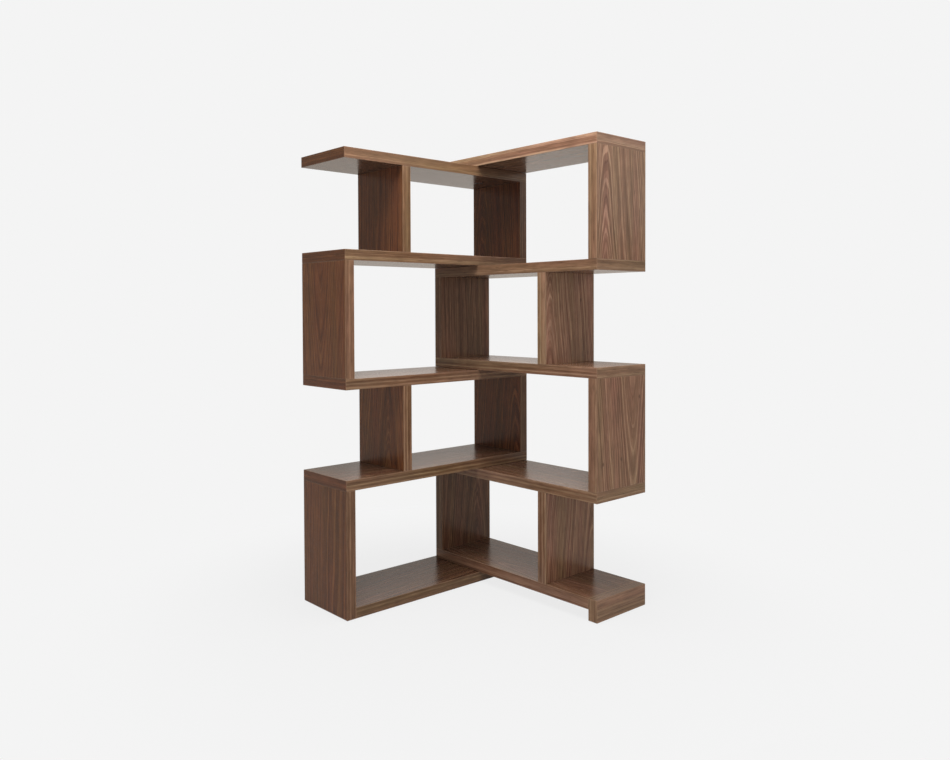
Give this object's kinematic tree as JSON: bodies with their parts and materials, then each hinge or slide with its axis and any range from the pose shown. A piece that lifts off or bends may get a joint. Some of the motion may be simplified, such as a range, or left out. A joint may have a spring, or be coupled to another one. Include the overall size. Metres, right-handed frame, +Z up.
{
  "type": "zigzag bookshelf",
  "caption": "Corner bookcase of interleaved zigzag wings in walnut veneer; a wing swings on hidden pivots in the shared corner, from a narrow vee out to a straight run.",
  "frame": {"origin": "on the floor, under the middle of the rectangle that the wings span in the pictured corner pose", "axes": "+Z up; the left wing runs along X with its front towards -Y, the right wing runs along Y with its front towards -X, and they share the corner at +X +Y"},
  "size_m": [0.98, 0.93, 1.814],
  "materials": {
    "walnut": "satin lacquered walnut veneer",
    "beech": "plain beech",
    "pivot_steel": "zinc plated steel",
    "bush_nylon": "natural nylon",
    "insert_brass": "turned brass",
    "cap_plastic": "dark brown moulded plastic",
    "felt": "pressed felt"
  },
  "bodies": {
    "left_wing": {"left_shelf_1": "walnut", "left_shelf_2": "walnut", "left_shelf_3": "walnut", "left_shelf_4": "walnut", "left_shelf_5": "walnut", "left_end_panel_lower": "walnut", "left_end_panel_upper": "walnut", "left_divider_lower": "walnut", "left_divider_upper": "walnut", "left_corner_panel_lower": "walnut", "left_corner_panel_upper": "walnut", "left_dowels": "beech", "left_pads": "felt", "pivot_bush_1": "bush_nylon", "pivot_cap_1": "cap_plastic", "pivot_bolt_2": "pivot_steel", "pivot_insert_2": "insert_brass", "pivot_bush_3": "bush_nylon", "pivot_cap_3": "cap_plastic", "pivot_bolt_4": "pivot_steel", "pivot_insert_4": "insert_brass", "pivot_bush_5": "bush_nylon", "pivot_cap_5": "cap_plastic"},
    "right_wing": {"right_shelf_1": "walnut", "right_shelf_2": "walnut", "right_shelf_3": "walnut", "right_shelf_4": "walnut", "right_shelf_5": "walnut", "right_end_panel_lower": "walnut", "right_end_panel_upper": "walnut", "right_divider_lower": "walnut", "right_divider_upper": "walnut", "right_corner_panel_lower": "walnut", "right_corner_panel_upper": "walnut", "right_dowels": "beech", "right_pads": "felt", "right_foot_board": "walnut", "pivot_bolt_1": "pivot_steel", "pivot_insert_1": "insert_brass", "pivot_bush_2": "bush_nylon", "pivot_cap_2": "cap_plastic", "pivot_bolt_3": "pivot_steel", "pivot_insert_3": "insert_brass", "pivot_bush_4": "bush_nylon", "pivot_cap_4": "cap_plastic", "pivot_bolt_5": "pivot_steel", "pivot_insert_5": "insert_brass"}
  },
  "joints": [
    {"name": "wing_swing", "type": "hinge", "parent": "left_wing", "child": "right_wing", "pos_m": [0.34, 0.315, 0], "axis": [0, 0, 1], "range_deg": [-65, 90]}
  ]
}
